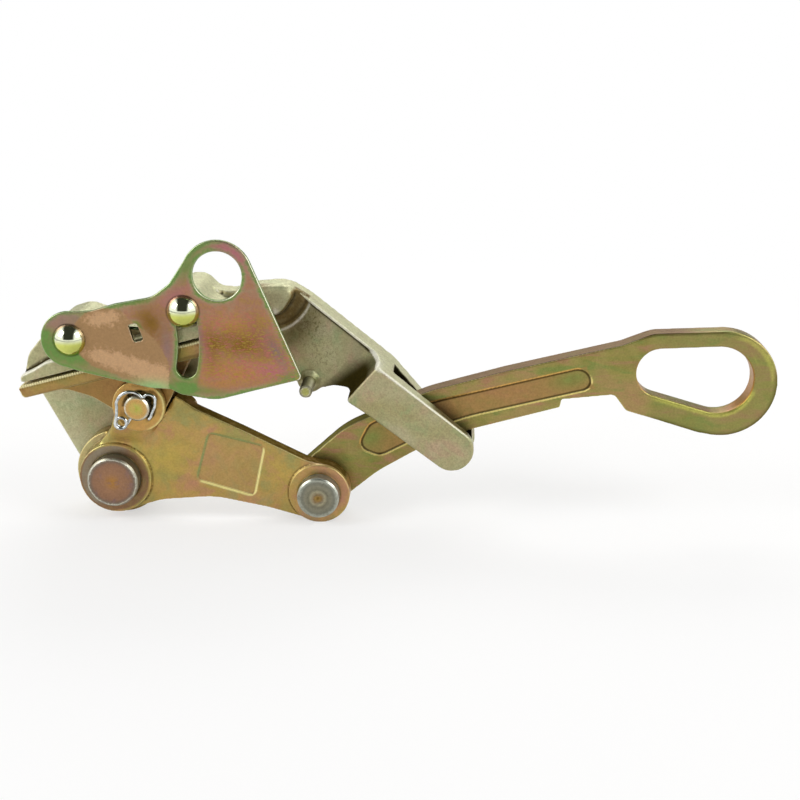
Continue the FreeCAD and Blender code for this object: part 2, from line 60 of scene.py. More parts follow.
def paint(shade):
    # an 8-bit screen colour as the linear one that shaders take; a node's output stays as it is
    def linear(value):
        value = value / 255
        return value / 12.92 if value <= 0.04045 else ((value + 0.055) / 1.055) ** 2.4
    return (*map(linear, shade), 1) if isinstance(shade, tuple) else shade


class Weave:
    # a small helper that adds and joins the shader nodes of a material or a world
    def __init__(self, owner):
        owner.use_nodes = True
        self.owner = owner
        self.nodes = owner.node_tree.nodes
        self.links = owner.node_tree.links
        self.coordinates = self.add("TexCoord").outputs

    def add(self, kind, **settings):
        node = self.nodes.new("ShaderNode" + kind)
        for setting, value in settings.items():
            setattr(node, setting, value)
        return node

    def join(self, value, socket):
        # a node's output is linked, and anything else becomes the socket's own value
        if isinstance(value, bpy.types.NodeSocket):
            self.links.new(value, socket)
        else:
            socket.default_value = value

    def put(self, node, **values):
        for name, value in values.items():
            self.join(value, node.inputs[name])

    def fill(self, node, *values):
        # the sockets in their order, from the first
        for socket, value in zip(node.inputs, values):
            self.join(value, socket)
        return node.outputs[0]

    def surface(self, sockets):
        # sets or links the sockets of the material's own shader
        for name, value in sockets.items():
            self.join(value, self.nodes["Principled BSDF"].inputs[name])
        return self.owner

    def noise(self, size, detail=3, roughness=0.5, distortion=0.0, stretch=None):
        place = self.coordinates["Object"]
        if stretch:
            mapping = self.add("Mapping")
            self.put(mapping, Scale=stretch[:3], Rotation=(0, math.radians(stretch[3]), 0), Vector=place)
            place = mapping.outputs["Vector"]
        node = self.add("TexNoise")
        self.put(node, Scale=1 / size, Detail=detail, Roughness=roughness, Distortion=distortion, Vector=place)
        return node.outputs["Fac"]

    def ramp(self, value, *stops):
        node = self.add("ValToRGB")
        elements = node.color_ramp.elements
        while len(elements) < len(stops):
            elements.new(0.5)
        for element, (position, shade) in zip(elements, stops):
            element.position = position
            element.color = paint(shade) if isinstance(shade, tuple) else (shade, shade, shade, 1)
        return self.fill(node, value)

    def span(self, value, low, high, start=0.0, end=1.0, smooth=True):
        node = self.add("MapRange", interpolation_type="SMOOTHSTEP" if smooth else "LINEAR")
        return self.fill(node, value, low, high, start, end)

    def math(self, kind, first, second=0.0):
        return self.fill(self.add("Math", operation=kind), first, second)

    def times(self, first, *others):
        for other in others:
            first = self.math("MULTIPLY", first, other)
        return first

    def vector(self, kind, first, second=(0, 0, 0)):
        node = self.add("VectorMath", operation=kind)
        self.fill(node, first, second)
        return node.outputs["Value" if kind == "LENGTH" else "Vector"]

    def part(self, value, axis):
        node = self.add("SeparateXYZ")
        self.fill(node, value)
        return node.outputs[axis]

    def blend(self, amount, under, over, kind="MIX"):
        node = self.add("Mix", data_type="RGBA", blend_type=kind)
        self.put(node, Factor=amount, A=paint(under), B=paint(over))
        return node.outputs["Result"]

    def choose(self, amount, first, second):
        return self.fill(self.add("MixShader"), amount, first, second)

    def attribute(self, name):
        return self.add("Attribute", attribute_name=name).outputs["Fac"]

    def ray(self, kind):
        return self.add("LightPath").outputs["Is " + kind + " Ray"]

    def bump(self, height, depth, before=None):
        node = self.add("Bump")
        self.put(node, Strength=1, Distance=depth, Height=height)
        if before:
            self.put(node, Normal=before)
        return node.outputs["Normal"]


# Where the photograph was taken from, and the light, in metres
studio = {
    "cameraPlace": (146.6 * mm, -571.9 * mm, 158.3 * mm),
    "cameraPitch": 17.5,
    "cameraTurn": 2.5,
    "focalPixels": 1308,
    "imagePixels": 800,
    "sensor": 36,
    "clip": (0.01, 50),
    "floorSize": 14,
    "floorMiddle": (0.12, 0),
    "floorShade": (0.9, 0.9, 0.9, 1),
    "floorRough": 0.9,
    "floorLift": 0.58,              # how much paler the camera sees the floor at the tool
    "floorFade": (0.15, 0.70),      # where that floor turns to plain white
    "worldStrength": 0.5,
    "worldShade": (1.0, 0.99, 0.97, 1),
    "roomGlow": 1.25,
    "aisle": (0.46, 0.70),
    "aisleHeight": (0.02, 0.16),
    "aisleGlow": 0.04,
    "aisleShade": (0.95, 1.0, 0.7, 1),
    # place, aim, width and height, watts
    "lamps": {
        "leftBox": ((-0.75, -0.35, 0.55), (0.05, 0, 0), (0.55, 0.55), 4.5),
        "rightBox": ((0.95, -0.35, 0.60), (0.20, 0, 0), (0.55, 0.55), 4.5),
        "backBox": ((0.12, 0.70, 0.55), (0.12, 0, 0), (0.9, 0.4), 3.5),
    },
}


def makeCamera():
    data = bpy.data.cameras.new("camera")
    data.sensor_width = studio["sensor"]
    data.lens = studio["sensor"] * studio["focalPixels"] / studio["imagePixels"]
    data.clip_start, data.clip_end = studio["clip"]
    camera = bpy.data.objects.new("camera", data)
    scene.collection.objects.link(camera)
    camera.location = studio["cameraPlace"]
    pitch = math.radians(90 - studio["cameraPitch"])
    camera.rotation_euler = (pitch, 0, math.radians(studio["cameraTurn"]))
    scene.camera = camera


def makeLamp(name, place, aim, size, power):
    data = bpy.data.lights.new(name, "AREA")
    data.shape = "RECTANGLE"
    data.size, data.size_y = size
    data.energy = power
    lamp = bpy.data.objects.new(name, data)
    scene.collection.objects.link(lamp)
    lamp.location = place
    lamp.rotation_euler = (Vector(aim) - Vector(place)).to_track_quat("-Z", "Y").to_euler()


def makeWorld():
    # a soft room: white to the camera, and in reflections white with a dark aisle overhead, front to back
    world = bpy.data.worlds.new("softRoom")
    scene.world = world
    w = Weave(world)
    w.nodes.remove(w.nodes["Background"])

    def glow(strength, shade=(1, 1, 1, 1)):
        node = w.add("Background")
        w.put(node, Color=shade, Strength=strength)
        return node.outputs[0]

    way = w.coordinates["Generated"]
    middle = w.span(w.math("ABSOLUTE", w.part(way, "X")), studio["aisle"][1], studio["aisle"][0])
    dark = w.times(middle, w.span(w.part(way, "Z"), *studio["aisleHeight"]))
    room = w.choose(dark, glow(studio["roomGlow"]), glow(studio["aisleGlow"], studio["aisleShade"]))
    seen = w.choose(w.ray("Glossy"), glow(studio["worldStrength"], studio["worldShade"]), room)
    seen = w.choose(w.ray("Transmission"), seen, glow(1.0))
    seen = w.choose(w.ray("Camera"), seen, glow(1.0))
    w.join(seen, w.nodes["World Output"].inputs["Surface"])


def makeFloor():
    bpy.ops.mesh.primitive_plane_add(size=studio["floorSize"], location=(*studio["floorMiddle"], cadBox[0].z))
    floor = bpy.context.object
    floor.name = "floor"
    w = Weave(bpy.data.materials.new("paleFloor"))
    w.surface({"Base Color": studio["floorShade"], "Roughness": studio["floorRough"],
               "Specular IOR Level": 0.0})
    # the camera sees a paler floor, plain white away from the tool, with the shadow kept near it
    away = w.span(w.vector("LENGTH", w.coordinates["Object"]), *studio["floorFade"], studio["floorLift"])
    plain, white = w.nodes["Principled BSDF"].outputs[0], w.add("Emission").outputs[0]
    seen = w.choose(w.times(w.ray("Camera"), away), plain, white)
    w.join(seen, w.nodes["Material Output"].inputs["Surface"])
    floor.data.materials.append(w.owner)
    bpy.ops.object.select_all(action="DESELECT")


makeCamera()
makeWorld()
makeFloor()
for lamp, settings in studio["lamps"].items():
    makeLamp(lamp, *settings)
print("studio made")


# How the copies of the solids are softened and measured
forging = {
    "mergeWithin": 0.002 * mm,
    "smoothing": 0.5,
    "edgeFull": (99, 0.02 * mm),         # the percentile of height that counts as sharp, and the least height
    "hollowFull": (99.5, 0.05 * mm),
    "wallFacing": 0.6,
    "leastShare": 0.02,
}


def activate(piece):
    bpy.ops.object.select_all(action="DESELECT")
    piece.select_set(True)
    bpy.context.view_layer.objects.active = piece


def applyModifier(piece, kind, **settings):
    activate(piece)
    modifier = piece.modifiers.new(kind.lower(), kind)
    for setting, value in settings.items():
        setattr(modifier, setting, value)
    bpy.ops.object.modifier_apply(modifier=modifier.name)


def smooth(piece, rounds, **settings):
    applyModifier(piece, "SMOOTH", factor=forging["smoothing"], iterations=rounds, **settings)


def forQuick(sizes):
    return sizes[1]


def copyOf(node, name):
    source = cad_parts[node]
    piece = source.copy()
    piece.data = source.data.copy()
    piece.name = name
    piece.data.name = name
    piece.parent = None
    scene.collection.objects.link(piece)
    piece.data.materials.clear()
    activate(piece)
    bpy.ops.object.mode_set(mode="EDIT")
    bpy.ops.mesh.select_all(action="SELECT")
    bpy.ops.mesh.remove_doubles(threshold=forging["mergeWithin"])
    bpy.ops.object.mode_set(mode="OBJECT")
    return piece


def soften(piece, look):
    # the blunt edges and blended corners of a blasted forging
    applyModifier(piece, "REMESH", mode="VOXEL", voxel_size=forQuick(look["grain"]) * mm, adaptivity=0)
    smooth(piece, look["rounds"])
    activate(piece)
    bpy.ops.object.shade_smooth()


def vertexArray(piece, what):
    values = np.empty(len(piece.data.vertices) * 3)
    piece.data.vertices.foreach_get(what, values)
    return values.reshape(-1, 3)


def finishPiece(piece, body, node, material):
    piece.data.materials.clear()
    piece.data.materials.append(material)
    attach(piece, body)
    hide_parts(node)
    print(piece.name, len(piece.data.polygons), "faces")


def measured(piece):
    # what marks are placed by: each point's coordinates in millimetres and the way it faces
    x, y, z = vertexArray(piece, "co").T / mm
    faceX, faceY, faceZ = vertexArray(piece, "normal").T
    return {"x": x, "y": y, "z": z, "faceX": faceX, "faceY": faceY, "faceZ": faceZ, "rightUp": faceX + faceZ}


def rise(value, start, end):
    # 0 up to start and 1 from end on, eased between them; the start may be the higher one
    part = np.clip((value - start) / (end - start), 0, 1)
    return part * part * (3 - 2 * part)


def wobble(at, size):
    # a gentle unevenness between -1 and 1
    a, b = at["x"] / size, at["z"] / size
    broad = np.sin(2.1 * a + 1.3 * b) + np.sin(3.7 * b - 1.9 * a + 1)
    return (broad + 0.6 * np.sin(7.3 * a + 5.1 * b + 2)) / 2.6


def onLine(at, start, angle):
    # places measured along and across a slanted line
    turn = math.radians(angle)
    right, up = at["x"] - start[0], at["z"] - start[1]
    return right * math.cos(turn) + up * math.sin(turn), up * math.cos(turn) - right * math.sin(turn)


def awayFrom(at, centre):
    return np.hypot(at["x"] - centre[0], at["z"] - centre[1])


def insideOf(at, corners):
    # how far inside a straight-sided outline each place is, negative outside
    x, z = at["x"], at["z"]
    least = np.full(x.shape, np.inf)
    within = np.zeros(x.shape, bool)
    for (ax, az), (bx, bz) in zip(corners, corners[1:] + corners[:1]):
        right, up = bx - ax, bz - az
        share = np.clip(((x - ax) * right + (z - az) * up) / (right ** 2 + up ** 2), 0, 1)
        least = np.minimum(least, np.hypot(x - ax - share * right, z - az - share * up))
        if up:
            within ^= ((az > z) != (bz > z)) & (x < ax + (z - az) * right / up)
    return np.where(within, least, -least)


def spot(at, centre, reach, lean=0):
    # a soft oval of 1 fading to 0 around a place in X and Z, its length leaned by an angle
    run, side = onLine(at, centre, lean)
    return np.exp(-(run / reach[0]) ** 2 - (side / reach[1]) ** 2)


def region(at, limits):
    # how far each point is in a region, 0 to 1: a measure rises between two numbers and may fall again
    # between two more, "spots" adds soft ovals up, and "unless" takes other regions out
    amount = 1.0
    for name, limit in limits.items():
        if name == "spots":
            amount = amount * sum(share * spot(at, *oval) for share, *oval in limit)
        elif name == "unless":
            for share, other in limit:
                amount = amount * (1 - share * region(at, other))
        else:
            start, end, *fall = limit
            amount = amount * rise(at[name], start, end)
            if fall:
                amount = amount * rise(at[name], fall[1], fall[0])
    return amount


def strongest(at, parts):
    # of several regions, each with its own strength; one alone is given without a list
    parts = [(1, parts)] if isinstance(parts, dict) else parts
    return np.maximum.reduce([share * region(at, limits) for share, limits in parts])


def markPlace(piece, name, values):
    mark = piece.data.attributes.get(name) or piece.data.attributes.new(name, "FLOAT", "POINT")
    mark.data.foreach_set("value", values.astype(np.float32))


def markAll(piece, at, regions):
    for name, parts in regions.items():
        markPlace(piece, name, strongest(at, parts))


def movePoints(piece, places):
    piece.data.vertices.foreach_set("co", places.ravel())
    piece.data.update()


def smoothedPlaces(piece, rounds):
    twin = piece.copy()
    twin.data = piece.data.copy()
    scene.collection.objects.link(twin)
    smooth(twin, rounds)
    found = vertexArray(twin, "co")
    bpy.data.objects.remove(twin)
    return found


def smoothWhere(piece, share, rounds):
    # smooths the piece only as far as the share says at each point
    group = piece.vertex_groups.new(name="softened")
    for index in np.nonzero(share > forging["leastShare"])[0]:
        group.add([int(index)], float(share[index]), "REPLACE")
    smooth(piece, forQuick(rounds), vertex_group="softened")


def markRelief(piece, look, hollowShare=1.0):
    # how sharply each point stands out or is sunk, from 0 to 1 for the sharpest of the piece, for painted
    # highlights on edges and painted shade in hollows
    def full(heights, percentile, least):
        return heights / max(np.percentile(heights, percentile), least)

    spots, facing = vertexArray(piece, "co"), vertexArray(piece, "normal")
    edgeRounds, hollowRounds = look["reliefRounds"]
    stand = ((spots - smoothedPlaces(piece, edgeRounds)) * facing).sum(1)
    markPlace(piece, "edge", full(stand, *forging["edgeFull"]))
    sink = ((smoothedPlaces(piece, hollowRounds) - spots) * facing).sum(1)
    markPlace(piece, "hollow", hollowShare * full(sink, *forging["hollowFull"]))


def offRim(piece):
    # how far each point of a flat face is from the piece's outline or a hole, in millimetres
    points = vertexArray(piece, "co") / mm
    walls = points[np.abs(vertexArray(piece, "normal")[:, 1]) < forging["wallFacing"]]
    tree = KDTree(len(walls))
    for index, point in enumerate(walls):
        tree.insert(point, index)
    tree.balance()
    return np.array([tree.find(point)[2] for point in points])


def measurePanel(at, corners):
    # a sunk panel: how far inside it each point is, how much it leans, and whether up and left
    at["inPanel"] = insideOf(at, corners)
    at["tilt"] = np.hypot(at["faceX"], at["faceZ"])
    at["upLeft"] = (0.8 * at["faceZ"] - 0.6 * at["faceX"]) / (at["tilt"] + 1e-6)


def panelWall(level, upLeft):
    # the panel's wall, above its floor's level, on the sides that face up and left or down and right
    above = (level, level - 0.3)
    return {"inPanel": (-1.3, -0.7, 0.6, 1.1), "tilt": (0.06, 0.30), "y": above, "upLeft": upLeft}


# The places that pieces share, as the solids have them
where = {
    "mainPin": (-11, -59.9),
    "jawPin": (3.184, -23.142),
    "shankPin": (84.29, -66.229),
    "latchPivot": (-24.8, 8.9),
    "latchGuide": (26.755, 22.425),
    "stub": (78.8, -17.1),
    "jawAngle": 15,
    "tailRoot": (105.2, -12),
    "tailAngle": -38,
    "beamCorner": (79.5, 22.9),
    "beamAngle": -38.9,
}


# Plated and blasted steel, whose thin yellow chromate film shifts from green through gold to rose.
# In a look, sizes are in millimetres, colours are as on the screen, and marks are painted in their order.
def chromateSteel(name, look):
    w = Weave(bpy.data.materials.new(name))
    wide = w.noise(look["patch"] * mm, detail=3, roughness=0.5, distortion=0.9)
    colour = w.ramp(w.span(wide, 0.32, 0.68, smooth=False), *look["film"])
    stretch = look.get("drawn")
    drift = w.noise(0.4 * look["patch"] * mm, detail=5, roughness=0.62, distortion=0.5, stretch=stretch)
    colour = w.blend(w.span(drift, 0.50, 0.68, end=look["driftShare"]), colour, look["driftOne"])
    colour = w.blend(w.span(drift, 0.49, 0.33, end=look["driftShare"]), colour, look["driftTwo"])
    mottle = w.noise(look["mottle"] * mm, detail=4, roughness=0.65)
    fleck = w.noise(look["fleck"] * mm, detail=3, roughness=0.6)
    uneven = w.span(mottle, 0.30, 0.62, 0.75, 1.1)
    for mark, shade, share in look["marks"]:
        amount = w.times(w.attribute(mark), uneven if share < 1 else 1.0, share)
        colour = w.blend(amount, colour, shade)
    if "grit" in look:
        grains = w.span(w.noise(1.1 * mm, detail=5, roughness=0.75), 0.50, 0.38)
        colour = w.blend(w.times(grains, w.attribute("grit")), colour, look["grit"])
    # painted shade in the hollows
    hollow = w.span(w.attribute("hollow"), *look["hollowAt"])
    colour = w.blend(w.times(hollow, look["hollowShare"]), colour, look["hollow"])
    # painted highlights on the edges that stand out, kept off the painted dark marks
    edgeHighlight = w.span(w.attribute("edge"), *look["edgeAt"])
    edgeHighlight = w.times(edgeHighlight, w.span(mottle, 0.32, 0.55, 0.45, 1.0))
    dull = 0.0
    for mark in look["dull"]:
        dull = w.math("MAXIMUM", w.attribute(mark), dull)
    bright = w.math("SUBTRACT", 1.0, dull)
    edgeHighlight = w.times(edgeHighlight, look["edgeShare"], bright)
    colour = w.blend(edgeHighlight, colour, look["edge"])
    colour = w.blend(1.0, colour, w.ramp(mottle, (0.28, look["mottleDark"]), (0.72, 1.0)), "MULTIPLY")
    colour = w.blend(1.0, colour, w.ramp(fleck, (0.30, look["fleckDark"]), (0.66, 1.0)), "MULTIPLY")
    # places with painted highlights scatter the light, and places with painted shade don't shine
    pale = w.math("MAXIMUM", edgeHighlight, w.attribute(look["pale"]))
    metal = w.span(pale, 0, 1, look["metal"], 0.25 * look["metal"], smooth=False)
    rough = w.span(fleck, 0.3, 0.7, *look["rough"])
    pebble = w.bump(fleck, look["pebble"] * mm)
    return w.surface({
        "Base Color": colour,
        "Metallic": w.times(metal, bright),
        "Specular IOR Level": w.span(dull, 0, 1, 0.5, 0.0, smooth=False),
        "Roughness": w.math("SUBTRACT", rough, w.times(edgeHighlight, 0.10)),
        "Normal": w.bump(mottle, look["wave"] * mm, pebble),
    })


# The frame, a blasted forging in dull khaki
frameLook = {
    "grain": (1.6, 0.7), "rounds": 3, "reliefRounds": (5, 30),
    "patch": 30, "film": [(0, (182, 172, 122)), (0.5, (188, 180, 134)), (1, (198, 190, 152))],
    "driftOne": (204, 166, 140), "driftTwo": (156, 180, 126), "driftShare": 0.55,
    "mottle": 2.6, "mottleDark": 0.86, "fleck": 0.8, "fleckDark": 0.76,
    "hollowAt": (0.3, 1), "hollow": (70, 60, 28), "hollowShare": 0.8,
    "edgeAt": (0.6, 1.1), "edge": (240, 238, 208), "edgeShare": 0.75,
    "metal": 0.62, "rough": (0.52, 0.4), "pebble": 0.16, "wave": 0.14,
    "pale": "lit", "dull": ["paintedShadow", "blackShade"],
    "marks": [("paleToneAndTopLight", (220, 220, 176), 0.8), ("pocketBrown", (134, 114, 66), 0.95),
              ("paintedShadow", (66, 58, 24), 1), ("brownSpots", (132, 98, 50), 0.65),
              ("shade", (96, 84, 40), 0.9), ("lit", (252, 250, 232), 1),
              ("blackShade", (34, 30, 13), 1), ("studFace", (196, 196, 110), 0.9)],
    "grit": (88, 78, 38), "gritShare": 0.75,
    # the tail slot's front wall stands this much forward of the solid's, in millimetres
    "slotRoom": 1.8,
    "slotStart": 9, "slotFront": 2.15, "slotTaper": 4 / 46.6,
    "tailFront": -9.85, "tailBack": 13.85,
    "slotZone": {"tailRun": (5.5, 9, 56, 58.5), "offAxis": (14, 12)},
    # where the pocket, the jaw's lip and the marks are
    "pocketMiddle": (59, 28),
    "pocketSide": [(73.6, 33), (73.2, 28), (67.3, 21.4), (65.8, 16.5), (56, 12), (46, 11),
                   (46, 0), (86, 0), (86, 33)],
    "ragged": (0.5, 2.6), "speckleSize": 0.7, "sweepLean": 0.25,
    "lipTop": ((-52, -50.5, -44, -37), (2.5, 4, 5.2, 7.2)),
    "regions": {
        # the milled round pocket beside the shoulder, its floor painted brown
        "pocketBrown": {"offPocket": (21.6, 21), "y": (9.3, 9.8, 15.5, 16.5), "x": (50, 55),
                  "pocketSide": (-0.4, 0.6)},
        "paintedShadow": [
            # painted shadow in the sweep into the tail
            (1, {"sweepRun": (-9.5, -2.5), "tailRun": (1.6, 0.7), "y": (-9.4, -8.8, 13, 13.2),
                 "tailSide": (11.5, 9), "unless": [(1, {"faceX": (-0.35, 0.1), "tailRun": (-1, 0.2)}),
                                                   (0.3, {"tailSide": (2, 7)})]}),
            # painted shadow on the wall seen through the latch's slot
            (1, {"spots": [(1, (20.4, -12.5), (6, 5))], "y": (8, 9, 16, 18)}),
        ],
        "blackShade": [
            # painted deep shade: the tail slot's inside, the crevice behind the jaw's lip and the line under
            # the beam's lip
            (1, {"tailRun": (8.4, 8.9, 55.7, 56.1), "offSlotFront": (-0.35, 0.1), "y": (14.2, 13.9)}),
            (1, {"overLip": (-0.3, 0, 0.6, 1), "y": (-7.7, -7.3, -5.5, -5.1), "jawRun": (-18, -20)}),
            (1, {"lipSide": (-3, -2.3, -1.7, -1.4), "lipRun": (0, 3, 41, 46), "y": (9.9, 10.6, 14, 15)}),
            # painted shade on the stud's lower side
            (0.7, {"offStub": (2.2, 2.6, 5, 6), "y": (10, 8.5),
                   "unless": [(1, {"lightSide": (0.75, 0.92), "y": (-5, -4.6)})]}),
        ],
        "shade": [
            # painted shadow of the shank on the tail's top where the shank comes out of it
            (0.9, {"faceZ": (0.45, 0.65), "tailRun": (29, 34), "y": (-8.6, -8, -3, -2)}),
            # painted shade on the web below the lip
            (1, {"spots": [(0.7, (77.5, 11), (6, 9), -20), (0.6, (70, 4), (5, 8), -30)],
                 "y": (12, 12.6, 15, 16)}),
            # painted shade on the stud's lower side and root
            (1, {"offStub": (6, 5), "rightUp": (0.9, 0.4), "y": (-5.4, -5.1, 8.5, 10)}),
            (0.9, {"offStub": (6, 5), "y": (7.5, 9, 8.5, 10)}),
        ],
        "lit": [
            # painted highlights: the jaw's ledge and the front edges of the beam and the tail
            (1, {"overLip": (-1.3, -0.9, 0.1, 0.5), "y": (-7.8, -8.2), "faceZ": (0.1, 0.3),
                 "jawRun": (-10, -16)}),
            (1, {"lipSide": (-2.3, -1.9, -0.4, 0.1), "lipRun": (0, 3, 41, 46), "y": (10.2, 9.7)}),
            (0.85, {"tailSide": (9.6, 10), "y": (-8.7, -9.1), "tailRun": (0, 2, 50, 56)}),
            # painted highlights on the stud's crescent and the ring on its end
            (0.5, {"offStub": (6, 5), "lightSide": (0.9, 0.98), "y": (7, 5)}),
            (0.6, {"offStub": (1.5, 1.8, 2, 2.3), "y": (-5, -5.3)}),
            # a painted glint in the pocket, painted bright speckles by the tail and a painted highlight on the
            # pocket's rim
            (1, {"spots": [(1, (64, 16.5), (1.2, 1.8))], "y": (12.9, 12.5)}),
            (0.8, {"speckle": (0.35, 0.7), "spots": [(1, (97.5, -2), (3, 2.2))], "y": (12, 11)}),
            (0.8, {"offPocket": (21.3, 21.8, 22.3, 22.9), "y": (12, 12.4, 12.75, 12.95)}),
        ],
        # brown spots in the pocket
        "brownSpots": {"spots": [(1, (57, 28.6), (4, 2), -10), (0.5, (50, 25.5), (5, 3))], "y": (16, 14)},
        "studFace": {"offStub": (1.9, 1.5), "y": (-5, -5.3)},
    },
    # added up: painted light on the tops that face up, and a paler tone on the pocket's corner, the nose, the
    # leg and the tail's root
    "paleToneAndTopLight": [
        (1, {"faceZ": (0.35, 0.7), "faceX": (-0.6, -0.35)}),
        (1.3, {"spots": [(1, (62, 23), (15, 7), -15)], "unless": [(1, {"pocketSide": (-0.4, 0.6)})],
               "y": (12.9, 12.6)}),
        (0.45, {"x": (-28, -34), "faceY": (-0.5, -0.8)}),
        (0.2, {"x": (-12, -18), "z": (-18, -24), "faceY": (-0.5, -0.8)}),
        (0.45, {"spots": [(1, (89, -5), (9, 11))], "faceY": (-0.5, -0.8)}),
    ],
    "gritSpots": [(1, (80, 10), (7, 10), -20), (0.6, (86, -6), (8, 8)), (0.5, (-36, 9), (6, 4), 40)],
}


def slotFrontAt(run, look):
    return look["slotFront"] - look["slotTaper"] * (run - look["slotStart"])


def widenTailSlot(piece, look):
    # moves the slot's front wall forward, less and less towards the tail's two faces
    at = measured(piece)
    at["tailRun"], side = onLine(at, where["tailRoot"], where["tailAngle"])
    at["offAxis"] = np.abs(side)
    wall = slotFrontAt(at["tailRun"], look)
    front, back = look["tailFront"], look["tailBack"]
    share = np.clip(np.minimum((at["y"] - front) / (wall - front), (back - at["y"]) / (back - wall)), 0, 1)
    at["y"] = at["y"] - look["slotRoom"] * share * region(at, look["slotZone"])
    movePoints(piece, np.array([at["x"], at["y"], at["z"]]).T * mm)


def makeFrame():
    look = frameLook
    piece = copyOf("frame", "forgedFrame")
    soften(piece, look)
    widenTailSlot(piece, look)
    markRelief(piece, look)
    at = measured(piece)
    at["tailRun"], at["tailSide"] = onLine(at, where["tailRoot"], where["tailAngle"])
    at["sweepRun"] = at["tailRun"] - look["sweepLean"] * at["tailSide"]
    at["offSlotFront"] = at["y"] - slotFrontAt(at["tailRun"], look) + look["slotRoom"]
    at["jawRun"], jawHeight = onLine(at, (0, 0), where["jawAngle"])
    at["overLip"] = jawHeight - np.interp(at["jawRun"], *look["lipTop"])
    at["lipRun"], at["lipSide"] = onLine(at, where["beamCorner"], where["beamAngle"])
    at["offPocket"] = awayFrom(at, look["pocketMiddle"])
    raggedness, raggedSize = look["ragged"]
    at["pocketSide"] = insideOf(at, look["pocketSide"]) + raggedness * wobble(at, raggedSize)
    at["speckle"] = wobble(at, look["speckleSize"])
    at["offStub"] = awayFrom(at, where["stub"])
    at["lightSide"] = 0.7 * at["rightUp"]
    markAll(piece, at, look["regions"])
    paleToneAndTopLight = sum(share * region(at, limits) for share, limits in look["paleToneAndTopLight"])
    markPlace(piece, "paleToneAndTopLight", np.clip(paleToneAndTopLight, 0, 1))
    grit = np.clip(region(at, {"spots": look["gritSpots"]}), 0, 1)
    markPlace(piece, "grit", look["gritShare"] * grit * region(at, {"faceY": (-0.5, -0.8)}))
    finishPiece(piece, "frame", "frame", chromateSteel("khakiForging", look))


makeFrame()


# The link, orange gold with olive clouds
wireGap = {"wireOff": (8.6, 7.8), "y": (-11.3, -11.6)}
linkLook = {
    "grain": (1, 0.455), "rounds": 2, "reliefRounds": (7, 26), "footRounds": (12, 90), "footRelief": 0.15,
    "patch": 24, "film": [(0, (176, 164, 98)), (0.35, (198, 168, 96)),
                          (0.65, (206, 166, 106)), (1, (200, 150, 118))],
    "driftOne": (156, 164, 108), "driftTwo": (204, 142, 122), "driftShare": 0.5,
    "mottle": 3.8, "mottleDark": 0.88, "fleck": 0.9, "fleckDark": 0.86,
    "hollowAt": (0.35, 1.1), "hollow": (78, 56, 22), "hollowShare": 0.75,
    "edgeAt": (0.6, 1.05), "edge": (238, 224, 146), "edgeShare": 0.8,
    "metal": 0.85, "rough": (0.42, 0.34), "pebble": 0.05, "wave": 0.1,
    "pale": "wallLit", "dull": ["strip", "wireShade"],
    "marks": [("gold", (210, 182, 90), 0.7), ("lobe", (214, 166, 92), 0.7),
              ("ring", (146, 112, 84), 0.9), ("blue", (158, 150, 130), 0.7),
              ("panel", (192, 158, 104), 0.45), ("wallShade", (150, 166, 106), 0.8),
              ("wallLit", (254, 242, 160), 1), ("strip", (100, 82, 34), 0.95),
              ("wireShade", (40, 36, 17), 0.95), ("hubSide", (206, 196, 142), 0.7)],
    "panelCorners": [(33.3, -37.1), (59.5, -43.5), (54, -68.9), (26.6, -60.9)],
    "hubLevel": -60, "hubLean": 0.5, "ringLean": 0.3, "ringWider": 1.3, "ringWide": (-14, -22),
    "wireNarrower": 0.8, "wireNarrow": (70, 120),
    # where the lobe runs out softly into the arm
    "lobeFoot": {"y": (-5.2, -5.5), "offJawPin": (12.2, 13.4), "offMainPin": (17, 18.5), "x": (30, 24),
                 "z": (-48, -44, -25, -22)},
    "regions": {
        # the ring around the big pin, bluish on its left, and the hub's side
        "ring": {"ringOff": (16.2, 15.4), "y": (-5.9, -6.3)},
        "blue": {"offMainPin": (16.2, 15.4), "y": (-5.9, -6.3), "hubSlant": (-8, -17)},
        "hubSide": {"offMainPin": (15.2, 16), "y": (-5.4, -5), "x": (-15, -19)},
        "lobe": {"offJawPin": (12.6, 11.6), "y": (-9, -10)},
        "gold": {"spots": [(1, (12, -52), (12, 8), 30), (0.6, (66, -57), (8, 5), -25),
                           (0.6, (-3, -42), (8, 6)), (0.4, (16, -68), (12, 5))]},
        # painted shade between the jaw pin and its clip, all round but low on the left
        "wireShade": [(1, {"bearing": (-70, -50, 130, 150), **wireGap}),
                      (0.8, {"bearing": (60, 80), **wireGap})],
        # painted shade on the arm's top behind its front edge
        "strip": {"faceZ": (0.34, 0.54), "x": (9, 14), "y": (-5.3, -4.8), "z": (-62, -58)},
        "panel": {"inPanel": (-0.2, 0.5), "y": (-4.6, -4.9)},
        # painted shade on the panel's wall where it faces down and right
        "wallShade": panelWall(-4.6, (0, -0.5)),
        # painted highlights on the panel's wall, the lobe's right rim and the top's front edge
        "wallLit": [(1, panelWall(-4.6, (0, 0.5))),
                    (0.6, {"offJawPin": (10.9, 11.3, 11.9, 12.3), "y": (-9, -10),
                           "bearing": (-80, -60, 30, 50)}),
                    (0.35, {"faceZ": (0.3, 0.45), "x": (20, 26), "y": (-5, -5.2), "z": (-62, -58)})],
    },
}


def measureLink(piece):
    at = measured(piece)
    at["offMainPin"] = awayFrom(at, where["mainPin"])
    at["offJawPin"] = awayFrom(at, where["jawPin"])
    return at


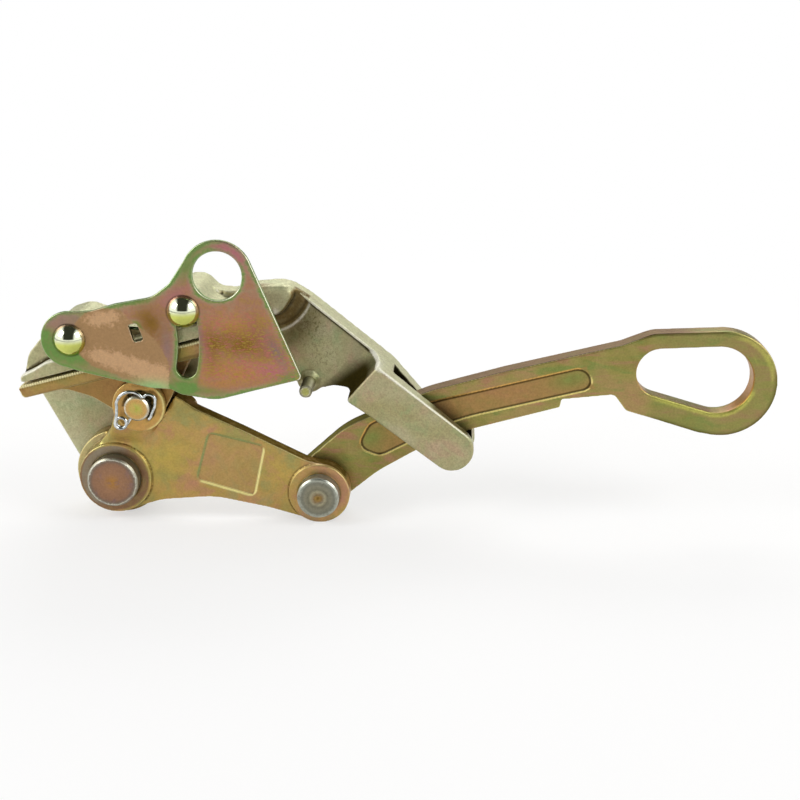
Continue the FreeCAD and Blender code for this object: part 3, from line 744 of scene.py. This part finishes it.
def makeLink():
    look = linkLook
    piece = copyOf("link", "forgedLink")
    soften(piece, look)
    lobeFoot = region(measureLink(piece), look["lobeFoot"])
    smoothWhere(piece, lobeFoot, look["footRounds"])
    markRelief(piece, look, 1 - (1 - look["footRelief"]) * lobeFoot)
    at = measureLink(piece)
    measurePanel(at, look["panelCorners"])
    # the ring is wider low on the left, and the clip's dark is narrower at the upper left
    hubUp = at["z"] - look["hubLevel"]
    at["hubSlant"] = at["x"] - look["hubLean"] * hubUp
    wider = rise(at["x"] + look["ringLean"] * hubUp, *look["ringWide"])
    at["ringOff"] = at["offMainPin"] - look["ringWider"] * wider
    at["bearing"] = np.degrees(np.arctan2(at["z"] - where["jawPin"][1], at["x"] - where["jawPin"][0]))
    at["wireOff"] = at["offJawPin"] + look["wireNarrower"] * rise(at["bearing"], *look["wireNarrow"])
    markAll(piece, at, look["regions"])
    finishPiece(piece, "link", "link", chromateSteel("goldForging", look))


makeLink()


# The lower jaw, whose gripping face is cut in fine teeth
jawLook = {
    "grain": (0.9, 0.5), "rounds": 2, "reliefRounds": (10, 24),
    "patch": 20, "film": [(0, (156, 138, 72)), (0.4, (180, 150, 86)), (1, (176, 138, 92))],
    "driftOne": (146, 144, 82), "driftTwo": (166, 118, 76), "driftShare": 0.5,
    "mottle": 3.2, "mottleDark": 0.84, "fleck": 0.9, "fleckDark": 0.84,
    "hollowAt": (0.3, 0.95), "hollow": (58, 42, 16), "hollowShare": 0.9,
    "edgeAt": (0.55, 1), "edge": (242, 228, 164), "edgeShare": 0.85,
    "metal": 0.85, "rough": (0.44, 0.36), "pebble": 0.05, "wave": 0.1,
    "pale": "toothTopHighlight", "dull": ["under", "latchSlotShadow"],
    "marks": [("lug", (166, 126, 74), 0.75), ("toothTopHighlight", (255, 246, 190), 1),
              ("under", (96, 74, 36), 0.5), ("toothRootShade", (88, 72, 32), 0.85),
              ("latchSlotShadow", (44, 34, 16), 0.9)],
    # the teeth, in millimetres, which fade out below the bar's upper edge
    "toothPitch": 1.2, "toothDepth": 0.3, "finerAbove": -2.9, "fade": (-3.2, -1.3), "fadeRagged": (0.5, 3),
    # painted highlight on the bar's top, dimmer in the teeth's valleys, and painted shade in the teeth's roots
    "toothTopHighlight": {"height": (-2, -1.5), "y": (-5.5, -7.5)}, "valleyDimming": 0.45,
    "toothRootShade": {"wave": (0.45, 0.95), "run": (-8, -30), "y": (-11.6, -11.9), "height": (-1.8, -2.1)},
    "regions": {
        "lug": {"height": (-7.6, -9.1)},
        # painted shade low on the bar's front
        "under": [(0.8, {"height": (-5.6, -6.4), "y": (-10.5, -11.5)})],
        # painted shadow on the part seen through the latch's slot
        "latchSlotShadow": {"spots": [(1, (24.5, -9.5), (6, 4.5))], "y": (-2, -5)},
    },
}


def measureJaw(piece):
    at = measured(piece)
    at["run"], at["height"] = onLine(at, (0, 0), where["jawAngle"])
    return at


def cutTeeth(piece, look):
    # the top of the bar is made finer, then pressed into teeth
    for elements in (piece.data.polygons, piece.data.edges):
        elements.foreach_set("select", np.zeros(len(elements), bool))
    piece.data.vertices.foreach_set("select", measureJaw(piece)["height"] > look["finerAbove"])
    activate(piece)
    bpy.ops.object.mode_set(mode="EDIT")
    bpy.ops.mesh.select_mode(type="VERT")
    bpy.ops.mesh.subdivide(number_cuts=1)
    bpy.ops.object.mode_set(mode="OBJECT")
    at = measureJaw(piece)
    at["wave"] = np.abs((at["run"] / look["toothPitch"]) % 1 - 0.5) * 2
    raggedness, raggedSize = look["fadeRagged"]
    fade = rise(at["height"] + raggedness * wobble(at, raggedSize), *look["fade"])
    inwards = vertexArray(piece, "normal") * (-look["toothDepth"] * mm * at["wave"] * fade)[:, None]
    movePoints(piece, vertexArray(piece, "co") + inwards)
    # painted highlight on the teeth's tops, dimmer in the valleys, and painted shade in their roots
    markPlace(piece, "toothTopHighlight", region(at, look["toothTopHighlight"]) * (1 - look["valleyDimming"] * at["wave"]))
    markPlace(piece, "toothRootShade", region(at, look["toothRootShade"]) * fade)


def makeLowerJaw():
    piece = copyOf("lower_jaw", "forgedLowerJaw")
    soften(piece, jawLook)
    cutTeeth(piece, jawLook)
    markRelief(piece, jawLook)
    markAll(piece, measureJaw(piece), jawLook["regions"])
    finishPiece(piece, "lower_jaw", "lower_jaw", chromateSteel("brownGoldForging", jawLook))


makeLowerJaw()


# The shank, olive green borders around a rosy sunk panel
eyeFront = {"x": (232, 242), "faceY": (-0.3, -0.6)}
topStrip = {"faceZ": (0.45, 0.7), "rising": (-18, -12)}
shankLook = {
    "grain": (0.9, 0.475), "rounds": 2, "reliefRounds": (7, 22), "bluntRounds": (5, 26),
    "patch": 22, "film": [(0, (150, 144, 76)), (0.5, (166, 154, 88)), (1, (178, 150, 98))],
    "driftOne": (188, 132, 108), "driftTwo": (130, 150, 78), "driftShare": 0.7,
    "drawn": (0.5, 1, 1.8, 15),
    "mottle": 3.6, "mottleDark": 0.86, "fleck": 0.9, "fleckDark": 0.84,
    "hollowAt": (0.3, 0.95), "hollow": (64, 50, 18), "hollowShare": 0.85,
    "edgeAt": (0.6, 1.05), "edge": (234, 232, 140), "edgeShare": 0.8,
    "metal": 0.85, "rough": (0.42, 0.34), "pebble": 0.05, "wave": 0.1,
    "pale": "wallLit", "dull": ["oliveShadedTop", "blackShade", "eyeShade"],
    "marks": [("panel", (178, 136, 84), 0.75), ("leafEnd", (128, 152, 76), 0.7),
              ("wallShade", (226, 176, 96), 0.95), ("wallLit", (252, 232, 140), 1),
              ("strip", (134, 102, 64), 0.9), ("oliveShadedTop", (140, 134, 74), 1),
              ("eyeGreen", (138, 146, 78), 0.45), ("eyeHighlight", (214, 212, 104), 0.75),
              ("eyeShade", (98, 92, 42), 0.8),
              ("amber", (176, 120, 48), 0.8), ("blackShade", (46, 40, 16), 0.85)],
    "panelCorners": [(101, -46.5), (107, -34.5), (135.3, -23.8), (206.5, -5.8),
                     (211, -16.5), (147.4, -32.3), (112.1, -51.1)],
    # the line halfway across the eye's ring, and the middle of its round end
    "eyeMiddle": [(223.1, -11), (232.5, 5.6), (254.7, 7.6), (276.2, 6.8), (287.2, -10.1), (281.6, -27.6),
                  (267.1, -33.6), (244.7, -28.1), (224.8, -16.9)],
    "eyeEnd": (266.5, -11.8), "risingFrom": 195, "risingSlope": 0.26,
    "blunt": {"x": (226, 240)},
    "regions": {
        "panel": {"inPanel": (-0.2, 0.5), "y": (3.75, 3.45)},
        # painted orange where the panel's wall faces down and right, its shaded side
        "wallShade": panelWall(3.75, (0, -0.5)),
        "leafEnd": {"spots": [(1, (108, -42), (7, 5), 35), (1, (200, -12), (9, 4), 14)]},
        # painted shade on the bar's top behind its front edge, darkest at the back, and a painted olive
        # reflection at its left end
        "strip": {**topStrip, "y": (2.95, 3.3), "x": (118, 128, 246, 262)},
        "blackShade": [(1, {**topStrip, "y": (2.95, 3.3, 3.6, 3.9), "x": (128, 134, 246, 262)}),
                  (0.6, {"faceZ": (0.3, 0.5), "x": (126, 116), "y": (10, 12)})],
        "oliveShadedTop": {"faceZ": (0.3, 0.5), "x": (126, 116), "y": (3.3, 3.7)},
        # the eye is greener, with a painted highlight beside its opening low down and painted shade where its
        # outer side rounds off
        "eyeGreen": eyeFront,
        "eyeHighlight": [(1, {**eyeFront, "inEye": (-0.5, 0.5), "offRim": (2.6, 1), "z": (-15, -19)}),
                    (0.6, {**eyeFront, "inEye": (0.5, -0.5), "offRim": (0.5, 1.4, 2.2, 3.6), "x": (270, 278),
                           "z": (-16, -8)})],
        "eyeShade": [(1, {**eyeFront, "inEye": (0.5, -0.5), "offRim": (2.4, 0.4), "z": (-18, -22)}),
                     (1, {**eyeFront, "inEye": (0.5, -0.5), "offRim": (2.4, 0.4), "z": (-4, -12),
                          "x": (280, 286)})],
        # the opening's two ends
        "amber": [(1, {"faceX": (-0.3, -0.7), "x": (268, 272, 285, 287)}),
                  (0.8, {"faceX": (0.3, 0.7), "x": (226, 228, 233, 236)})],
        # painted highlights: the panel's wall, the eye's lower inside and upper right outside, the bar's lower
        # left edge
        "wallLit": [(1, panelWall(3.75, (0, 0.5))),
                    (0.8, {"faceZ": (0.25, 0.5, 0.65, 0.85), "y": (5.2, 4.4), "x": (236, 242, 269, 275),
                           "z": (-18, -20)}),
                    (0.8, {"rightUp": (0.7, 1, 1.05, 1.25), "y": (5.4, 4.4), "offEyeEnd": (19, 21),
                           "x": (268, 276), "z": (-14, -8)}),
                    (0.8, {"faceZ": (0.1, 0.3, 0.3, 0.5), "y": (3.6, 3.2), "x": (84, 90, 104, 112)})],
    },
}


def makeShank():
    look = shankLook
    piece = copyOf("shank", "forgedShank")
    soften(piece, look)
    # the eye is blunter than the bar
    smoothWhere(piece, region(measured(piece), look["blunt"]), look["bluntRounds"])
    markRelief(piece, look)
    at = measured(piece)
    measurePanel(at, look["panelCorners"])
    at["rising"] = at["z"] - look["risingSlope"] * (at["x"] - look["risingFrom"])
    at["inEye"] = insideOf(at, look["eyeMiddle"])
    at["offRim"] = offRim(piece)
    at["offEyeEnd"] = awayFrom(at, look["eyeEnd"])
    markAll(piece, at, look["regions"])
    finishPiece(piece, "shank", "shank", chromateSteel("oliveForging", look))


makeShank()
print("forgings made")


# The latch plate: a thin bright film, green at the rims, rose in the middle, rubbed to bare peach on the left
latchFront = (-15.8, -16.2)      # marks for the front alone come in between these Y
latchLook = {
    "grain": (0.8, 0.36), "rounds": 1, "reliefRounds": (5, 10),
    "film": [(0, (116, 154, 82)), (0.18, (144, 158, 96)), (0.34, (176, 150, 116)),
             (0.55, (182, 134, 108)), (0.75, (176, 138, 86)), (1, (160, 130, 62))],
    "edge": (240, 238, 212),
    "layers": [("khaki", (158, 152, 106), 0.85), ("orange", (200, 136, 84), 0.75),
               ("brown", (140, 104, 44), 0.9), ("magenta", (194, 108, 134), 0.65),
               ("violet", (132, 116, 124), 0.7), ("mauve", (160, 132, 118), 0.8),
               ("leaf", (116, 152, 80), 0.95), ("seatShade", (62, 54, 30), 0.7)],
    "speck": (180, 150, 70), "speckRose": (196, 118, 104),
    "tan": (178, 142, 100), "peach": (212, 172, 130), "mint": (168, 206, 140),
    "rubbedCorners": [(-21.6, 16.8), (-16.8, 21.4), (-12.1, 23.7), (-0.6, 23.3), (1.4, 19.7), (8.6, 14.4),
                      (13.7, 9.9), (17, 4.4), (19.4, -1.1), (18.7, -14.2), (3.5, -11.6), (0, -8.8),
                      (-15.8, -2.5), (-20.9, 2.1)],
    "rubbedSlope": 1.2, "rubbedMost": 3,
    "windowMiddle": (5.3, 12.5), "earMiddle": (42.4, 38.4), "slotRadius": 53.3,
    "pivotLean": 0.4, "edgeLean": 0.34, "edgeLevel": -5.2,
    "rightEdge": [(54.5, 47), (77, -9.5), (83, -9.5), (83, 47)],
    "regions": {
        "peach": {"spots": [(1, (-9, 19), (9, 4), 10), (0.9, (-9, 1), (10, 4), -16),
                            (1, (6, -4), (13, 4.5), -20), (0.9, (15, -8), (6, 6))]},
        "mint": [(0.95, {"spots": [(1, (11.5, -12.4), (10, 3.4), -3)]})],
        "khaki": {"y": latchFront, "spots": [
            (1, (-19, 20), (9, 5), 30), (0.8, (-10, -5), (12, 2.4), -18), (0.4, (12, 27), (7, 2.5), 30)]},
        "brown": {"y": latchFront, "spots": [
            (1.2, (50, 8), (17, 5.5), -8), (1, (12, 17), (6, 9), 20), (0.5, (60, 14), (4, 8), 30),
            (0.6, (38, 3), (4, 10), 4)]},
        "orange": {"y": latchFront, "spots": [
            (1, (50, -5), (18, 5), -2), (0.8, (47, 16), (12, 6)), (0.6, (39, -11), (9, 2))]},
        "magenta": {"y": latchFront, "spots": [
            (1, (66, -4.5), (9, 3), -8), (0.7, (24, 30), (8, 3), 35), (0.6, (34.5, 9), (2.5, 9), 10),
            (0.9, (49, 49), (9, 5), -35), (0.5, (62, 9), (2.5, 9), 28)]},
        "violet": {"y": latchFront, "spots": [
            (1, (68, 4), (2.2, 8), 28), (0.7, (19, 6), (2.6, 9)), (0.5, (33.4, 13), (1.4, 6), 10)]},
        # over the left rivet
        "mauve": {"y": latchFront, "offPivot": (13, 11), "overPivot": (-2, 5), "x": (-17, -21)},
        # painted shade round the two rivets' heads and inside the small window
        "seatShade": [(1, {"y": latchFront, "offPivot": (8, 7.2)}), (1, {"y": latchFront, "offGuide": (8, 7.2)}),
                 (1, {"offWindow": (6.5, 5.5), "faceY": (-0.7, -0.3)})],
        "speckled": [(0.75, {"y": latchFront, "x": (30, 38), "z": (-13, -7, 18, 26)})],
    },
    # green round the left rivet, along the lower edge and on the left end
    "greenPivot": {"offPivot": (14, 9), "overPivot": (5, -2), "x": (-13, -19)},
    "greenLower": {"overEdge": (4.5, 0.5), "x": (6, -16)}, "lowerShare": 0.5,
    "greenEnd": {"x": (-30.5, -34.5), "z": (16, 12)},
    "greenSlot": {"offSlot": (7.2, 5.8), "z": (-17, -13, 4, 12)}, "slotShare": 0.45,
    "greenSpots": [(1, (73.5, -7.2), (7, 2.6), 14), (1, (25, -13), (8, 3.2)), (0.8, (29.5, 43), (3.4, 9), -30),
                   (0.6, (34, 51), (8, 2.2), 20), (0.5, (39, -14.5), (12, 2), -8)],
    # the sheared edge shows bright on the right side and under the ear's hole, and less at the back
    "cutLeast": 0.22,
    "cut": [(0.75, {"inRight": (-0.5, 0.5)}), (0.6, {"offEar": (12.6, 12), "z": (36, 31)}),
            (0.3375, {"y": (-16.2, -15.8)})],
}


def latchFilm(look):
    w = Weave(bpy.data.materials.new("latchFilm"))
    cloud = w.noise(8 * mm, detail=5, roughness=0.62, distortion=0.8)
    streak = w.noise(5 * mm, detail=4, roughness=0.6, distortion=0.5, stretch=(0.45, 1, 1.6, 12))
    fine = w.noise(0.9 * mm, detail=4, roughness=0.65)

    def vary(value, noise, low, high, least, most):
        return w.math("ADD", value, w.span(noise, low, high, least, most, smooth=False))

    thick = vary(w.span(w.attribute("rim"), 0.2, 3.2, end=0.50), cloud, 0.3, 0.7, -0.10, 0.22)
    thick = vary(thick, streak, 0.35, 0.65, -0.08, 0.10)
    thick = vary(thick, fine, 0.3, 0.7, -0.08, 0.08)
    colour = w.ramp(thick, *look["film"])
    patchy = w.span(w.math("ADD", cloud, w.times(fine, 0.5)), 0.60, 0.85, 0.75, 1.1)
    for mark, shade, share in look["layers"]:
        colour = w.blend(w.times(w.attribute(mark), patchy, share), colour, shade)
    # small golden and rose specks, thick on the right of the slot
    specks = w.noise(1.4 * mm, detail=4, roughness=0.75, distortion=0.4, stretch=(0.6, 1, 1.5, 8))
    specks = vary(specks, cloud, 0.3, 0.7, -0.05, 0.05)
    for shade, low, high in (("speck", 0.50, 0.62), ("speckRose", 0.48, 0.38)):
        amount = w.times(w.span(specks, low, high), w.attribute("speckled"))
        colour = w.blend(amount, colour, look[shade])
    rubbed = vary(w.attribute("rubbed"), fine, 0.3, 0.7, -0.35, 0.35)
    rubbed = w.span(vary(rubbed, streak, 0.3, 0.7, -0.35, 0.35), -0.6, 0.7)
    blotch = w.noise(2.0 * mm, detail=5, roughness=0.72, distortion=0.3)
    bare = vary(w.attribute("peach"), blotch, 0.35, 0.65, -0.35, 0.30)
    tone = w.blend(w.span(bare, 0.2, 0.8), look["tan"], look["peach"])
    tone = w.blend(w.attribute("mint"), tone, look["mint"])
    colour = w.blend(rubbed, colour, tone)
    colour = w.blend(1.0, colour, w.ramp(fine, (0.3, 0.80), (0.68, 1.0)), "MULTIPLY")
    edge = w.times(w.span(w.attribute("edge"), 0.55, 0.95), w.attribute("cut"))
    return w.surface({
        "Base Color": w.blend(edge, colour, look["edge"]),
        "Metallic": w.span(edge, 0, 1, 0.85, 0.3, smooth=False),
        "Roughness": w.math("ADD", w.span(fine, 0.3, 0.7, 0.34, 0.42), w.times(rubbed, 0.10)),
        "Normal": w.bump(fine, 0.04 * mm),
    })


def makeLatch():
    look = latchLook
    piece = copyOf("latch_plate", "latchPlate")
    soften(piece, look)
    markRelief(piece, look)
    markPlace(piece, "rim", offRim(piece))
    at = measured(piece)
    pivotX, pivotZ = where["latchPivot"]
    at["offPivot"] = awayFrom(at, where["latchPivot"])
    at["overPivot"] = at["z"] - pivotZ + look["pivotLean"] * (at["x"] - pivotX)
    at["offGuide"] = awayFrom(at, where["latchGuide"])
    at["offWindow"] = awayFrom(at, look["windowMiddle"])
    at["offEar"] = awayFrom(at, look["earMiddle"])
    at["offSlot"] = np.abs(at["offPivot"] - look["slotRadius"])
    at["overEdge"] = at["z"] - look["edgeLevel"] + look["edgeLean"] * at["x"]
    at["inRight"] = insideOf(at, look["rightEdge"])
    markAll(piece, at, look["regions"])
    # how far inside the rubbed area, and well outside it on the back
    front, most = rise(at["y"], *latchFront), look["rubbedMost"]
    rubbed = np.clip(insideOf(at, look["rubbedCorners"]) * look["rubbedSlope"], -most, most)
    markPlace(piece, "rubbed", rubbed * front - most * (1 - front))
    green = region(at, look["greenPivot"])
    green = green + (1 - green) * look["lowerShare"] * region(at, look["greenLower"])
    green = np.maximum(green, region(at, look["greenEnd"]))
    green = green + look["slotShare"] * region(at, look["greenSlot"])
    green = green + region(at, {"spots": look["greenSpots"]})
    markPlace(piece, "leaf", front * np.clip(green, 0, 1))
    markPlace(piece, "cut", look["cutLeast"] + strongest(at, look["cut"]))
    finishPiece(piece, "latch", "latch_plate", latchFilm(look))


makeLatch()
print("latch plate made")


# The turned, drawn and bright small parts keep their solids
def turnedSteel(name, centre, radius, rings, cloudShade, metal, rough, ripple=0.05):
    # rings of shade around a pin's middle line, given as shares of its radius
    w = Weave(bpy.data.materials.new(name))
    aside = w.vector("SUBTRACT", w.coordinates["Object"], (centre[0] * mm, 0, centre[1] * mm))
    aside = w.vector("MULTIPLY", aside, (1 / mm, 0, 1 / mm))
    off = w.math("DIVIDE", w.vector("LENGTH", aside), radius)
    cloud = w.noise(4.5 * mm, detail=5, roughness=0.65, distortion=0.6)
    fine = w.noise(0.9 * mm, detail=4, roughness=0.65)
    for noise, most in ((cloud, ripple), (fine, 0.6 * ripple)):
        off = w.math("ADD", off, w.span(noise, 0.3, 0.7, -most, most, smooth=False))
    colour = w.blend(w.span(cloud, 0.50, 0.66, end=0.55), w.ramp(off, *rings), cloudShade)
    return w.surface({
        "Base Color": w.blend(1.0, colour, w.ramp(fine, (0.28, 0.74), (0.68, 1.0)), "MULTIPLY"),
        "Metallic": metal,
        "Roughness": w.span(fine, 0.3, 0.7, *rough),
        "Normal": w.bump(fine, 0.04 * mm),
    })


def brightSteel(name, shade, low, rough, middle=None):
    # bright plating; on a rivet a painted reflection makes it yellower below the middle height, and on a wire
    # the tone changes here and there
    w = Weave(bpy.data.materials.new(name))
    fine = w.noise(1.4 * mm, detail=3, roughness=0.6)
    if middle is None:
        amount = w.span(w.noise(2.2 * mm, detail=2), 0.42, 0.60)
    else:
        amount = w.span(w.part(w.coordinates["Object"], "Z"), (middle + 1.6) * mm, (middle - 1.6) * mm)
    colour = w.blend(amount, shade, low)
    return w.surface({
        "Base Color": w.blend(1.0, colour, w.ramp(fine, (0.3, 0.88), (0.7, 1.0)), "MULTIPLY"),
        "Metallic": 1.0,
        "Roughness": w.span(fine, 0.3, 0.7, *rough),
    })


# the rivets' plating, with the yellow of a painted reflection on the lower half of the dome
rivetPlatingAndReflection = (230, 234, 208), (208, 214, 112), (0.05, 0.1)
smallParts = {
    # the bright ring near the main pin's rim is a painted highlight on its chamfer
    "main_pivot_pin": turnedSteel("mainPinSteel", where["mainPin"], 11.9, [
        (0, (188, 136, 66)), (0.35, (172, 130, 98)), (0.74, (160, 122, 96)),
        (0.84, (138, 116, 100)), (0.895, (150, 140, 122)), (0.925, (226, 226, 210)),
        (0.96, (170, 166, 146)), (1, (150, 146, 124))],
                                  (146, 118, 116), 0.85, (0.34, 0.44), 0.03),
    "shank_pin": turnedSteel("shankPinSteel", where["shankPin"], 9.7, [
        (0, (120, 92, 44)), (0.1, (170, 138, 76)), (0.2, (150, 126, 90)),
        (0.34, (178, 172, 144)), (0.46, (134, 130, 110)), (0.62, (152, 150, 130)),
        (0.78, (136, 136, 122)), (0.9, (186, 190, 176)), (1, (196, 200, 188))],
                             (126, 124, 108), 0.85, (0.32, 0.42), 0.03),
    # the pale ring near the jaw pin's rim is a painted highlight on its chamfer
    "jaw_pin": turnedSteel("jawPinSteel", where["jawPin"], 5.8, [
        (0, (170, 190, 74)), (0.3, (200, 188, 100)), (0.72, (212, 168, 100)),
        (0.83, (206, 180, 124)), (0.9, (244, 242, 226)), (1, (190, 190, 176))],
                           (216, 170, 104), 0.9, (0.26, 0.34), 0.02),
    "latch_pivot_spacer": turnedSteel("pivotBushSteel", where["latchPivot"], 5.5, [
        (0, (150, 144, 104)), (1, (170, 164, 120))], (140, 136, 96), 0.85, (0.35, 0.45)),
    "latch_guide_spacer": turnedSteel("guideBushSteel", where["latchGuide"], 7, [
        (0, (150, 144, 104)), (1, (176, 166, 112))], (140, 136, 96), 0.85, (0.32, 0.42)),
    "latch_pivot_rivet": brightSteel("pivotRivetPlatingAndReflection", *rivetPlatingAndReflection, where["latchPivot"][1]),
    "latch_guide_rivet": brightSteel("guideRivetPlatingAndReflection", *rivetPlatingAndReflection, where["latchGuide"][1]),
    "jaw_pin_clip": brightSteel("clipWire", (226, 230, 230), (176, 184, 186), (0.08, 0.14)),
    "latch_spring": brightSteel("springWire", (92, 108, 72), (48, 58, 34), (0.18, 0.26)),
}


def dressSmallParts():
    # gives each CAD node that stays a finish of its own
    for node, material in smallParts.items():
        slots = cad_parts[node].data.materials
        if len(slots):
            slots[0] = material
        else:
            slots.append(material)


dressSmallParts()
print("small parts dressed")
